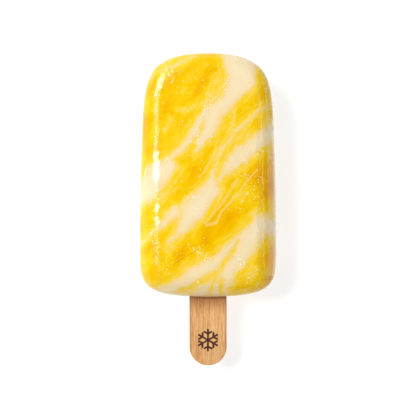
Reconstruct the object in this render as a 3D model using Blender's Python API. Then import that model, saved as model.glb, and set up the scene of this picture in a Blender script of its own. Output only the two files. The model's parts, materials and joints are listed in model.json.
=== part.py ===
"""Ice lolly: a marbled mango and cream bar frozen round a flat wooden stick, lying on its back face.

Run it with blender --background --python part.py, or from Blender's text editor.
Lengths are in metres. +Z is up, +Y points to the tip of the bar and -Y to the free end of the stick.
The origin is under the middle of the whole lolly, on the surface that it lies on.
"""

import bisect
import math

import bmesh
import bpy
from mathutils import Vector

# Driving dimensions of the whole lolly
TOTAL_LENGTH = 0.1006
STICK_SHOWING = 0.0224

# Driving dimensions of the frozen bar
BAR_WIDTH = 0.044
BAR_THICKNESS_AT_STICK = 0.024
BAR_THICKNESS_AT_TIP = 0.022
EDGE_RADIUS_AT_STICK = 0.0078
EDGE_RADIUS_AT_TIP = 0.0044
FRONT_CROWN = 0.0008
WIDEST_FROM_STICK_END = 0.0231

# The outline is a superellipse on each side of its widest line. A higher width power squares its
# corners across the bar, a higher length power squares them along the bar.
TIP_WIDTH_POWER = 2.36
TIP_LENGTH_POWER = 11.0
STICK_END_WIDTH_POWER = 2.94
STICK_END_LENGTH_POWER = 7.0
TIP_TAPER = 0.080
TAPER_EASE = 0.30

# Driving dimensions of the stick
STICK_WIDTH = 0.012
STICK_THICKNESS = 0.002
STICK_LENGTH = 0.072
STICK_EDGE_BEVEL = 0.0003
STICK_GAP = 0.0003

# Driving dimensions of the snow star burned into the stick
STAR_SIZE = 0.0068
STAR_LINE = 0.0006
STAR_DEPTH = 0.0002
STAR_TWIG_LENGTH = 0.0013
STAR_TWIG_PLACE = 0.6
STAR_FROM_STICK_END = 0.0082

# How finely the bar is divided
OUTLINE_SEGMENTS = 128
EDGE_SEGMENTS = 8
FACE_RINGS = 4
BACK_RING_SCALE = 0.55
OUTLINE_SAMPLES = 1440

# Lengths that follow from the driving dimensions
TIP_Y = TOTAL_LENGTH / 2
STICK_END_Y = -TOTAL_LENGTH / 2
BAR_BASE_Y = STICK_END_Y + STICK_SHOWING
BAR_LENGTH = TIP_Y - BAR_BASE_Y
BAR_MIDDLE_Y = (TIP_Y + BAR_BASE_Y) / 2
WIDEST_Y = BAR_BASE_Y + WIDEST_FROM_STICK_END
STICK_HEIGHT = BAR_THICKNESS_AT_STICK / 2
STICK_MIDDLE_Y = STICK_END_Y + STICK_LENGTH / 2


def clear_scene():
    for item in list(bpy.data.objects):
        bpy.data.objects.remove(item, do_unlink=True)


def new_collection(name, hidden=False):
    collection = bpy.data.collections.new(name)
    collection.hide_render = hidden
    bpy.context.scene.collection.children.link(collection)
    return collection


def new_material(name, colour, roughness):
    """A dielectric finish with one base colour, given as linear red, green and blue."""
    material = bpy.data.materials.new(name)
    material.use_nodes = True
    shader = material.node_tree.nodes["Principled BSDF"]
    shader.inputs["Base Color"].default_value = (*colour, 1.0)
    shader.inputs["Roughness"].default_value = roughness
    shader.inputs["Metallic"].default_value = 0.0
    return material


def add_object(name, mesh, collection, parent, location):
    item = bpy.data.objects.new(name, mesh)
    collection.objects.link(item)
    item.parent = parent
    item.location = location
    return item


def outline_point(turn):
    """The bar's outline seen from the front, at a share of the way round from the +X side."""
    angle = 2 * math.pi * turn
    across, along = math.cos(angle), math.sin(angle)
    if along >= 0:
        reach = TIP_Y - WIDEST_Y
        width_power = TIP_WIDTH_POWER
        length_power = TIP_LENGTH_POWER
    else:
        reach = WIDEST_Y - BAR_BASE_Y
        width_power = STICK_END_WIDTH_POWER
        length_power = STICK_END_LENGTH_POWER
    share_along = abs(along) ** (2 / length_power)
    share_across = abs(across) ** (2 / width_power)
    taper = 0.0
    if along > 0:
        eased = share_along ** 2 * (1 + TAPER_EASE) / (share_along + TAPER_EASE)
        taper = TIP_TAPER * eased
    x = math.copysign(BAR_WIDTH / 2 * (1 - taper) * share_across, across)
    y = WIDEST_Y + math.copysign(reach * share_along, along)
    return Vector((x, y))


def even_outline(count):
    """Points spaced evenly along the outline, each with the direction that points out of the bar."""
    fine = [outline_point(i / OUTLINE_SAMPLES) for i in range(OUTLINE_SAMPLES + 1)]
    travelled = [0.0]
    for before, after in zip(fine, fine[1:]):
        travelled.append(travelled[-1] + (after - before).length)

    def at(distance):
        distance = distance % travelled[-1]
        low = bisect.bisect_right(travelled, distance) - 1
        share = (distance - travelled[low]) / (travelled[low + 1] - travelled[low])
        return fine[low].lerp(fine[low + 1], share)

    step = travelled[-1] / count
    result = []
    for i in range(count):
        forward = at((i + 0.5) * step) - at((i - 0.5) * step)
        outward = Vector((forward.y, -forward.x)).normalized()
        result.append((at(i * step), outward))
    return result


def along_bar(at_stick, at_tip, y):
    """A size that changes evenly along the bar, at one place."""
    return at_stick + (at_tip - at_stick) * (y - BAR_BASE_Y) / BAR_LENGTH


def front_height(x, y):
    """Height of the front face: the draft of the mould along the bar, and a slight crown."""
    draft = along_bar(BAR_THICKNESS_AT_STICK, BAR_THICKNESS_AT_TIP, y)
    across = 1 - (x / (BAR_WIDTH / 2)) ** 2
    along = 1 - ((y - BAR_MIDDLE_Y) / (BAR_LENGTH / 2)) ** 2
    return draft + FRONT_CROWN * max(across, 0.0) * max(along, 0.0)


def bar_stations():
    """The bar's rings, from the middle of its back to the middle of its front.

    Each is (inset from the outline, share of the way out from the middle, drop, whether on the front).
    The drop is how far the ring is from its own face, back or front. The inset and the drop are shares
    of the edge radius there.
    """
    quarter = [math.pi / 2 * i / EDGE_SEGMENTS for i in range(EDGE_SEGMENTS + 1)]
    arc = [(1 - math.cos(a), 1 - math.sin(a)) for a in quarter]
    back = [(inset, 1.0, drop, False) for inset, drop in reversed(arc)]
    front = [(inset, 1.0, drop, True) for inset, drop in arc]
    face = [(1.0, 1 - i / FACE_RINGS, 0.0, True) for i in range(1, FACE_RINGS + 1)]
    return [(1.0, 0.0, 0.0, False), (1.0, BACK_RING_SCALE, 0.0, False)] + back + front + face


def make_bar(collection, parent):
    """A sphere whose rings of latitude are moved out to the rings of the bar."""
    outline = even_outline(OUTLINE_SEGMENTS)
    stations = bar_stations()
    rings = len(stations) - 1
    centre = Vector((0.0, BAR_MIDDLE_Y))
    form = bmesh.new()
    bmesh.ops.create_uvsphere(form, u_segments=OUTLINE_SEGMENTS, v_segments=rings, radius=1.0)
    for vertex in form.verts:
        latitude = math.asin(max(-1.0, min(1.0, vertex.co.z)))
        turn = math.atan2(vertex.co.y, vertex.co.x) / (2 * math.pi)
        inset, share, drop, on_front = stations[round((latitude / math.pi + 0.5) * rings)]
        place, outward = outline[round(turn * OUTLINE_SEGMENTS) % OUTLINE_SEGMENTS]
        radius = along_bar(EDGE_RADIUS_AT_STICK, EDGE_RADIUS_AT_TIP, place.y)
        flat = centre.lerp(place - outward * radius * inset, share)
        drop = drop * radius
        height = front_height(flat.x, flat.y) - drop if on_front else drop
        vertex.co = (flat.x, flat.y - BAR_MIDDLE_Y, height)
    bmesh.ops.recalc_face_normals(form, faces=form.faces)
    mesh = bpy.data.meshes.new("ice_bar")
    form.to_mesh(mesh)
    form.free()
    bar = add_object("ice_bar", mesh, collection, parent, (0.0, BAR_MIDDLE_Y, 0.0))
    mesh.materials.append(new_material("mango_and_cream_ice", (0.94, 0.66, 0.10), 0.18))
    return bar


def flat_bar_mesh(name, length, width, thickness, edge_bevel):
    """A flat bar along Y with half-round ends, centred on its own origin."""
    radius = width / 2
    straight = length / 2 - radius
    lean = radius * 4 / 3 * math.tan(math.pi / 8)
    curve = bpy.data.curves.new(name, "CURVE")
    curve.dimensions = "2D"
    curve.fill_mode = "BOTH"
    curve.extrude = thickness / 2
    curve.resolution_u = 8
    spline = curve.splines.new("BEZIER")
    # Where the outline goes, which way it runs there, and the reach of its handles before and after
    stops = [
        (radius, -straight, (0, 1), lean, 0.0),
        (radius, straight, (0, 1), 0.0, lean),
        (0.0, straight + radius, (-1, 0), lean, lean),
        (-radius, straight, (0, -1), lean, 0.0),
        (-radius, -straight, (0, -1), 0.0, lean),
        (0.0, -straight - radius, (1, 0), lean, lean),
    ]
    spline.bezier_points.add(len(stops) - 1)
    for point, (x, y, heading, before, after) in zip(spline.bezier_points, stops):
        point.handle_left_type = point.handle_right_type = "FREE"
        point.co = (x, y, 0.0)
        point.handle_left = (x - heading[0] * before, y - heading[1] * before, 0.0)
        point.handle_right = (x + heading[0] * after, y + heading[1] * after, 0.0)
    spline.use_cyclic_u = True
    guide = bpy.data.objects.new(name, curve)
    bpy.context.scene.collection.objects.link(guide)
    graph = bpy.context.evaluated_depsgraph_get()
    mesh = bpy.data.meshes.new_from_object(guide.evaluated_get(graph))
    bpy.data.objects.remove(guide)
    bpy.data.curves.remove(curve)
    form = bmesh.new()
    form.from_mesh(mesh)
    bmesh.ops.remove_doubles(form, verts=form.verts, dist=1e-6)
    bmesh.ops.dissolve_limit(form, angle_limit=0.001, verts=form.verts, edges=form.edges)
    if edge_bevel:
        rim = [edge for edge in form.edges if abs(edge.verts[0].co.z - edge.verts[1].co.z) < 1e-7]
        bmesh.ops.bevel(form, geom=rim, offset=edge_bevel, segments=2, profile=0.5, affect="EDGES")
    form.to_mesh(mesh)
    form.free()
    mesh.name = name
    return mesh


def make_stick(collection, parent):
    mesh = flat_bar_mesh("stick", STICK_LENGTH, STICK_WIDTH, STICK_THICKNESS, STICK_EDGE_BEVEL)
    mesh.materials.append(new_material("birch", (0.77, 0.46, 0.18), 0.6))
    return add_object("stick", mesh, collection, parent, (0.0, STICK_MIDDLE_Y, STICK_HEIGHT))


def make_slot_cutter(collection, parent):
    """The room that the stick takes in the bar, with a small gap all round."""
    mesh = flat_bar_mesh(
        "stick_slot",
        STICK_LENGTH + 2 * STICK_GAP,
        STICK_WIDTH + 2 * STICK_GAP,
        STICK_THICKNESS + 2 * STICK_GAP,
        0.0,
    )
    cutter = add_object("stick_slot", mesh, collection, parent, (0.0, STICK_MIDDLE_Y, STICK_HEIGHT))
    cutter.display_type = "WIRE"
    cutter.hide_render = True
    return cutter


def add_line_cutter(collection, parent, name, start, heading, length):
    """One straight groove of the snow star, from a point on the stick's face and along a heading."""
    form = bmesh.new()
    bmesh.ops.create_cube(form, size=1.0)
    depth = 2 * STAR_DEPTH
    for vertex in form.verts:
        vertex.co.x = (vertex.co.x + 0.5) * length
        vertex.co.y *= STAR_LINE
        vertex.co.z *= depth
    mesh = bpy.data.meshes.new(name)
    form.to_mesh(mesh)
    form.free()
    top = STICK_HEIGHT + STICK_THICKNESS / 2
    cutter = add_object(name, mesh, collection, parent, (start.x, start.y, top))
    cutter.rotation_euler = (0.0, 0.0, heading)
    cutter.display_type = "WIRE"
    cutter.hide_render = True


def make_star_cutters(collection, parent):
    """A plain snow star: three crossed lines, each arm with two short twigs."""
    centre = Vector((0.0, STICK_END_Y + STAR_FROM_STICK_END))
    arm = STAR_SIZE / 2
    for i in range(6):
        heading = math.radians(30 + 60 * i)
        way = Vector((math.cos(heading), math.sin(heading)))
        if i < 3:
            add_line_cutter(collection, parent, f"star_arm_{i}", centre - way * arm, heading, STAR_SIZE)
        fork = centre + way * arm * STAR_TWIG_PLACE
        for side in (-1, 1):
            name = f"star_twig_{i}_{'left' if side > 0 else 'right'}"
            twig = heading + side * math.radians(60)
            add_line_cutter(collection, parent, name, fork, twig, STAR_TWIG_LENGTH)


def cut(item, name, cutter=None, cutters=None):
    modifier = item.modifiers.new(name, "BOOLEAN")
    modifier.operation = "DIFFERENCE"
    modifier.solver = "EXACT"
    if cutters is not None:
        modifier.operand_type = "COLLECTION"
        modifier.collection = cutters
    else:
        modifier.object = cutter


def shade(item, angle_degrees):
    item.data.shade_smooth()
    item.data.set_sharp_from_angle(angle=math.radians(angle_degrees))


def main():
    clear_scene()
    lolly_collection = new_collection("ice_lolly")
    slot_cutters = new_collection("slot_cutters", hidden=True)
    star_cutters = new_collection("star_cutters", hidden=True)
    lolly = bpy.data.objects.new("ice_lolly", None)
    lolly_collection.objects.link(lolly)

    bar = make_bar(lolly_collection, lolly)
    stick = make_stick(lolly_collection, lolly)
    slot = make_slot_cutter(slot_cutters, lolly)
    make_star_cutters(star_cutters, lolly)

    cut(bar, "room_for_stick", cutter=slot)
    cut(stick, "snow_star", cutters=star_cutters)
    shade(bar, 30)
    shade(stick, 30)


main()
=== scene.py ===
"""Ice lolly maker: the visible surfaces of a marbled mango and cream lolly, and a plain studio for it.

The lolly lies on its back. +Y points to the tip of the bar, -Y to the end of the stick and +Z up out of
its front face. Lengths are in metres unless a name ends in _MM.
"""

import json
import math
from contextlib import contextmanager
from functools import partial

import bmesh
import bpy
import numpy as np
from bpy.props import FloatProperty, FloatVectorProperty, IntProperty, PointerProperty
from mathutils import Matrix, Vector

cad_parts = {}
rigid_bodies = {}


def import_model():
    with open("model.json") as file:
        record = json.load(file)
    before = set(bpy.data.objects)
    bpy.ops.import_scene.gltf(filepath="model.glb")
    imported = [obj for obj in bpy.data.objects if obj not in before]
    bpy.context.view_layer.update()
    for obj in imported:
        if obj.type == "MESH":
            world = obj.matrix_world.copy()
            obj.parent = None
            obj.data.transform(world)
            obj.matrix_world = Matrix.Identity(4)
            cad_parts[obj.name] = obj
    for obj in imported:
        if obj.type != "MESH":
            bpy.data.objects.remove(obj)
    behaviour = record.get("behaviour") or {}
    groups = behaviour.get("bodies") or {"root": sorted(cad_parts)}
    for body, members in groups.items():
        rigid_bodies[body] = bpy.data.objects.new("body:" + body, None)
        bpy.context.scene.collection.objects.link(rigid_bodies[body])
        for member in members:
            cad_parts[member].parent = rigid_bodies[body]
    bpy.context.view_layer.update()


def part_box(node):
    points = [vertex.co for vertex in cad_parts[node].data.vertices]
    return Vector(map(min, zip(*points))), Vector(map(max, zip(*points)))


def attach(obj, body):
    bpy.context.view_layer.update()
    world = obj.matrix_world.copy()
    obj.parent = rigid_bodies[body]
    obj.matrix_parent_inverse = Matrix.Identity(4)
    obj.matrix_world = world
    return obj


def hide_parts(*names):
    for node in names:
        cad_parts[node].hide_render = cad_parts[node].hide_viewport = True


bl_info = {
    "name": "Marbled Ice Lolly",
    "version": (1, 0, 0),
    "blender": (4, 5, 0),
    "location": "3D View > Sidebar > Lolly",
    "description": "Makes a marbled mango and cream ice lolly on a wooden stick, with a studio round it",
    "category": "Object",
}

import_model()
BAR_LOW, BAR_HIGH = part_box("ice_bar")
STICK_LOW, STICK_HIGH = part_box("stick")
MM = 0.001

# The bar's outline is a superellipse on each side of its widest line, and narrows towards the tip
WIDEST_FROM_STICK_END = 0.0231
TIP_WIDTH_POWER = 2.36
TIP_LENGTH_POWER = 11.0
STICK_END_WIDTH_POWER = 2.94
STICK_END_LENGTH_POWER = 7.0
TIP_TAPER = 0.080
TAPER_EASE = 0.30
DRAFT_TO_TIP = 0.002
FRONT_CROWN = 0.0008

# Where the marbling, the melt film and the frost are measured from
MARBLING_Y = BAR_LOW.y + 0.0282

# How finely the bar is divided: lines round it, and rings over each edge, wall and face
OUTLINE_SAMPLES = 4096
BAR_SEGMENTS = 560
EDGE_RINGS = 24
WALL_RINGS = 22
FRONT_RINGS = 38
BACK_RINGS = 16
RIDGE_SHARE = 0.72
RIDGE_WELD = 0.00015
SEAM_WELD = 1e-7

# The crystals keep off the back, and the front's chains of frost off the sides
BACK_BELOW = 0.001
FRONT_FROM = 0.018

# The slot's room round the stick, and the snow star burned into the stick
SLOT_ROOM = 0.00005
STAR_LINE = 0.0006
STAR_DEPTH = 0.0002
STAR_TWIG_LENGTH = 0.0013
STAR_TWIG_PLACE = 0.6

# The photograph's frame: 416 pixels of 0.32 mm across
FRAME_WIDTH = 416 * 0.32 * MM
FRAME_MIDDLE_Y = BAR_LOW.y + 0.0285
WIDEST_LEVEL = 0.018

# The sky: angles from the zenith in degrees, the panel's heading from +X towards +Y, and radiances
PANEL_HEADING = 18
PANEL_TOP = 78
EDGE_FROM = 50
EDGE_TO = 55
EDGE_SLOPE = 1.3
PANEL_COLOUR = "#FCF3E6"
PANEL_RADIANCE = 1.0
EDGE_RADIANCE = 1.4
SKY_LEFT = 0.27
SKY_RIGHT = 0.10
SKY_FOOT = 0.45

# Softboxes: degrees from the zenith and round from the left, distance, height, width and radiance
SOFTBOXES = {
    "key_softbox": (31, 13, 0.90, 0.316, 0.18, 20.2),
    "corner_softbox": (36, 38, 0.90, 0.58, 0.28, 8.6),
}

# Settings that many nodes or properties share
SMOOTH = {"interpolation_type": "SMOOTHSTEP"}
LENGTH = {"subtype": "DISTANCE", "unit": "LENGTH"}
COLOUR = {"subtype": "COLOR", "size": 3, "min": 0.0, "max": 1.0}

# Streaks of cream in the mango, as they show from the front: points along each, and its half width
# there, in millimetres from the centre of the marbling. They run from the upper right to the lower left.
CREAM_STREAKS = {
    "tip_stream": (
        (10.2, 53.0, 6.8), (10.6, 41.5, 4.9), (8.2, 37.0, 3.3), (5.5, 33.6, 2.4), (1.6, 30.2, 2.8),
        (0.6, 25.0, 2.5), (-3.7, 18.9, 1.4),
    ),
    "tip_flank": ((18.0, 47.6, 2.8), (22.2, 38.4, 1.8)),
    # Along the tip's left rim the cream is partly real and partly a painted highlight on the rounded edge
    "tip_rim_cream_and_highlight": ((-15.0, 42.8, 0.1), (-13.0, 44.7, 0.3), (-8.8, 46.7, 0.6), (-4.4, 48.4, 0.2)),
    "left_fork": (
        (3.2, 41.0, 0.4), (2.2, 37.0, 0.9), (1.0, 33.4, 0.8), (-2.4, 27.6, 1.3), (-4.9, 23.6, 1.5),
        (-7.8, 19.4, 1.1), (-12.3, 15.8, 1.2),
    ),
    "left_pool": ((-12.3, 13.6, 2.9), (-15.6, 10.9, 4.0), (-20.0, 4.7, 2.7), (-24.0, 1.2, 1.8)),
    "long_feather": (
        (22.0, 35.0, 0.2), (15.0, 29.9, 0.6), (8.4, 24.7, 0.5), (4.0, 18.6, 0.3), (2.2, 13.6, 0.3),
        (0.5, 5.6, 2.9), (-4.3, 0.0, 4.0), (-7.5, -5.0, 2.5), (-13.2, -11.5, 0.2),
    ),
    "left_thread": ((-10.2, -0.9, 2.0), (-14.4, -4.6, 1.2), (-16.6, -7.0, 0.5), (-22.5, -12.1, 0.5)),
    "right_stream": (
        (24.0, 26.8, 2.9), (16.0, 21.9, 2.6), (10.5, 17.2, 2.6), (6.6, 13.4, 1.8), (3.5, 9.4, 0.4),
    ),
    "lower_right_stream": (
        (23.4, -6.2, 2.8), (16.6, -5.0, 3.1), (12.9, -9.4, 3.7), (9.6, -15.0, 3.1), (6.2, -20.8, 2.5),
        (3.9, -25.4, 2.5), (3.0, -29.4, 3.1),
    ),
    "lower_middle_stream": (
        (10.2, -9.7, 1.9), (6.5, -13.4, 2.4), (3.0, -17.8, 2.6), (-1.2, -19.4, 3.1), (-4.6, -20.9, 3.0),
        (-8.0, -24.0, 2.7), (-15.0, -26.2, 1.8),
    ),
    "foot_middle": ((1.6, -22.4, 1.0), (-1.0, -26.0, 2.4), (-4.0, -28.4, 2.4)),
    "foot_stream": ((-14.0, -26.8, 0.8), (-3.0, -29.0, 1.2), (12.0, -29.0, 0.7)),
}

# Faint paler places: the same, but the mango only pales there
PALE_PATCHES = {
    "feather_side": ((6.6, 21.6, 0.7), (4.2, 17.0, 1.1), (2.6, 11.0, 1.0)),
    "upper_left": ((-11.6, 28.4, 0.1), (-13.6, 25.2, 0.1)),
    "upper_branch": ((0.6, 34.6, 0.3), (-3.4, 32.6, 0.05), (-9.6, 31.2, 0.02)),
    "lower_right": ((14.8, -19.2, 0.3), (12.8, -21.6, 0.3)),
    "right_middle": ((12.4, 5.0, 0.1), (11.0, 2.6, 0.2)),
}

# Pools where the mango lies thick and looks deepest
GOLDEN_POOLS = {
    "beside_tip": ((1.9, 47.8, 0.8), (-0.6, 38.2, 1.2), (-3.8, 31.2, 1.0), (-7.0, 21.6, 0.8)),
    "wedge": ((7.7, 33.8, 0.6), (16.0, 40.8, 0.8)),
    "tongue": ((-1.9, 19.0, 0.6), (-5.8, 12.0, 1.0), (-11.5, 4.3, 0.4)),
    "right": ((17.9, 15.8, 3.2), (17.3, 2.4, 3.8)),
    "right_edge": ((17.4, 33.0, 0.8), (19.0, 27.0, 0.8), (19.8, 14.0, 1.2), (19.8, 1.0, 1.2)),
    "right_foot": ((20.0, -12.0, 1.0), (19.4, -22.0, 1.2), (13.0, -27.0, 0.6)),
    "over_lower_stream": ((17.3, 1.4, 1.8), (9.0, -4.0, 2.2), (-1.0, -9.8, 2.0), (-8.0, -14.8, 1.2)),
    "foot_right": ((17.3, -18.7, 0.8), (13.4, -23.8, 0.8)),
    "left_edge": ((-20.4, 30.0, 0.1), (-20.2, 18.5, 0.2)),
}

# Slivers of mango that part the cream
MANGO_SLIVERS = {
    "tip_sliver": ((3.6, 47.0, 0.1), (3.6, 41.0, 0.2), (1.8, 36.6, -0.1), (-0.2, 32.0, -0.5)),
    "left_notch": ((-10.8, -4.8, 0.1), (-13.2, -7.8, 0.8), (-16.6, -10.8, 0.9)),
    "upper_sliver": ((-4.4, 19.4, 0.1), (-7.6, 16.6, 0.2)),
    "lower_sliver": (
        (9.8, -10.2, -0.8), (6.4, -15.8, -0.5), (3.3, -19.7, -0.3), (-0.2, -21.8, -0.3), (-4.4, -24.2, -0.4),
        (-8.2, -26.2, -0.3),
    ),
    "foot_sliver": ((2.8, -20.4, -0.4), (1.6, -23.6, -0.4), (0.8, -26.4, -0.5)),
    "foot_hair": ((4.4, -22.4, -0.7), (4.2, -26.4, -0.4)),
}

# Hair-thin threads of cream inside the mango
CREAM_THREADS = {
    "middle_hook": (
        (15.6, 12.4, 0.06), (10.2, 6.6, 0.08), (6.2, 1.2, 0.1), (2.6, -4.1, 0.14), (0.0, -5.0, 0.12),
        (-1.4, -3.8, 0.05),
    ),
    "middle_inner": ((9.3, 9.6, 0.1), (6.3, 4.0, 0.12), (2.4, -1.2, 0.12), (0.0, -4.0, 0.08)),
    "middle_short": ((4.8, 6.9, 0.06), (3.5, 2.7, 0.08), (1.6, -2.2, 0.06)),
    "feather_edge": ((2.9, 21.4, 0.08), (2.0, 17.8, 0.08), (-0.8, 11.8, 0.1), (-2.6, 10.3, 0.1)),
    "upper_hair": ((8.7, 32.4, 0.04), (7.7, 27.8, 0.07), (5.9, 24.2, 0.05)),
    "right_loop": ((14.4, 16.2, 0.06), (16.4, 18.2, 0.1), (18.6, 18.2, 0.08), (21.0, 13.8, 0.06)),
}

# Where the melt film lies thick and shines
MELT_FILM = {
    "corner": ((-16.7, 36.8, 1.5), (-15.4, 41.2, 2.9), (-13.2, 43.6, 2.9), (-11.0, 44.6, 2.2)),
    "left_middle": ((-17.0, 18.4, 1.3), (-17.2, 12.0, 2.6), (-17.0, 6.0, 0.9)),
    "left_lower": ((-16.8, 1.6, 1.4), (-17.0, -4.6, 1.3)),
    "left_foot": ((-17.0, -8.0, 0.6), (-17.0, -15.0, 0.5)),
    "tip_right": ((9.6, 47.0, 0.3), (10.0, 43.6, 0.4)),
    "right_edge": ((16.6, 38.0, 2.4), (19.4, 14.0, 4.0), (19.6, -18.0, 4.0)),
}

# Chains of frost crystals: points along each, its half width and how thickly they lie
FROST_CHAINS = (
    ((-1.0, 47.4), (0.6, 46.2), (-3.4, 43.2), (-8.0, 40.6), 0.7, 1.5),
    ((-12.0, 45.0), (-11.4, 42.8), 0.6, 1.0),
    ((-16.7, 37.6), (-16.3, 30.0), (-16.3, 20.4), 0.6, 4.0),
    ((-9.0, 32.0), (-7.6, 30.4), 0.6, 1.6),
    ((-15.0, 28.2), (-12.0, 26.8), (-7.4, 27.6), 1.0, 1.6),
    ((5.4, 47.6), (5.6, 42.4), (4.6, 38.0), (0.8, 35.4), (-1.0, 31.4), (-4.6, 26.4), 1.0, 1.7),
    ((0.4, 36.2), (-0.8, 33.6), 0.6, 3.0),
    ((-3.2, 24.0), (-3.4, 19.6), (-2.6, 14.6), (-1.2, 12.0), 0.9, 2.2),
    ((-8.0, 12.4), (-9.6, 6.8), (-5.8, 3.8), (-3.0, 5.0), 1.0, 1.6),
    ((-14.4, 17.6), (-12.8, 15.4), (-11.6, 12.0), 1.0, 3.0),
    ((12.0, 36.6), (13.6, 34.8), 0.6, 1.6),
    ((5.8, 20.0), (6.4, 15.8), (3.8, 12.0), 0.9, 1.6),
    ((11.2, 14.4), (12.6, 9.6), (12.4, 4.4), (10.4, 2.0), 1.4, 3.4),
    ((14.4, 13.0), (16.8, 8.0), 0.8, 1.2),
    ((-17.6, -5.0), (-17.2, -10.0), (-16.8, -15.8), (-14.8, -17.8), 1.2, 3.6),
    ((-13.4, -3.4), (-10.0, -8.6), (-12.2, -14.0), 1.6, 1.6),
    ((-6.4, -11.0), (-2.8, -13.6), (-1.0, -15.6), (1.4, -15.0), 0.8, 2.4),
    ((14.4, -8.6), (16.4, -11.6), (13.0, -14.6), 1.0, 1.6),
    ((11.0, -17.0), (13.2, -19.4), (9.0, -22.6), (11.6, -25.4), 1.6, 1.8),
    ((4.0, 6.0), (3.0, 2.6), (-1.0, -2.2), 0.8, 1.0),
    ((0.6, -24.0), (-6.4, -26.6), 1.2, 1.0),
)

STREAK_ANGLE = math.radians(55)
# Below this height the marbling leans, so that the walls and the back carry it on
LEAN_FROM_MM = 17.0
LEAN_ACROSS = 0.22
LEAN_ALONG = 0.34


def linear(hex_colour):
    """The linear colour of an sRGB hex value such as "#F7BF02"."""
    channels = [int(hex_colour[i : i + 2], 16) / 255 for i in (1, 3, 5)]
    return (*(c / 12.92 if c <= 0.04045 else ((c + 0.055) / 1.055) ** 2.4 for c in channels), 1.0)


def add_node(tree, kind, inputs=(), operation=None, **settings):
    """Adds a node with its settings and links. A kind without "Node" in it is a shader node's.

    Inputs are a dict, or a tuple in the order of the node's sockets. Each takes a number, a colour,
    another node's socket, or another node for its first output.
    """
    node = tree.nodes.new(kind if "Node" in kind else f"ShaderNode{kind}")
    if operation:
        node.operation = operation
    for name, value in settings.items():
        setattr(node, name, value)
    for key, value in inputs.items() if isinstance(inputs, dict) else enumerate(inputs):
        if isinstance(value, bpy.types.Node):
            value = value.outputs[0]
        if isinstance(value, bpy.types.NodeSocket):
            tree.links.new(value, node.inputs[key])
        else:
            node.inputs[key].default_value = value
    return node


def new_group(kind, name, given, made):
    """An empty node group of either kind of tree, and the node that gives its inputs."""
    tree = bpy.data.node_groups.new(name, kind)
    for way, sockets in (("INPUT", given), ("OUTPUT", made)):
        for socket, form in sockets.items():
            tree.interface.new_socket(socket, in_out=way, socket_type=f"NodeSocket{form}")
    return tree, add_node(tree, "NodeGroupInput")


def streak_run_group(kind):
    """Distance in millimetres to one straight run of a streak, whose half width changes along it."""
    tree, given = new_group(
        kind,
        f"streak_run_{kind}",
        {"Point": "Vector", "Start": "Vector", "Run": "Vector", "Half Width": "Float", "Widening": "Float"},
        {"Distance": "Float"},
    )
    node = partial(add_node, tree)
    point, start, run, half_width, widening = given.outputs[:5]
    offset = node("VectorMath", (point, start), "SUBTRACT")
    along = node("VectorMath", (offset, run), "DOT_PRODUCT")
    whole = node("VectorMath", (run, run), "DOT_PRODUCT")
    passed = node("Math", (along.outputs["Value"], whole.outputs["Value"]), "DIVIDE")
    share = node("Clamp", (passed,))
    foot = node("VectorMath", {0: run, "Scale": share}, "SCALE")
    away = node("VectorMath", (offset, foot), "SUBTRACT")
    length = node("VectorMath", (away,), "LENGTH")
    half = node("Math", (share, widening, half_width), "MULTIPLY_ADD")
    distance = node("Math", (length.outputs["Value"], half), "SUBTRACT")
    node("NodeGroupOutput", {"Distance": distance})
    return tree


def streaks_distance(tree, point, streaks, blend):
    """The node with the distance to the nearest of these streaks, negative inside them."""
    kind = tree.bl_idname
    runs = bpy.data.node_groups.get(f"streak_run_{kind}") or streak_run_group(kind)
    nearest = None
    for stops in streaks.values():
        for (x0, y0, half0), (x1, y1, half1) in zip(stops, stops[1:]):
            run = (point, (x0, y0, 0.0), (x1 - x0, y1 - y0, 0.0), half0, half1 - half0)
            distance = add_node(tree, kind.replace("Tree", "Group"), run, node_tree=runs)
            if nearest:
                distance = add_node(tree, "Math", (nearest, distance, blend), "SMOOTH_MIN")
            nearest = distance
    return nearest


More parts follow.
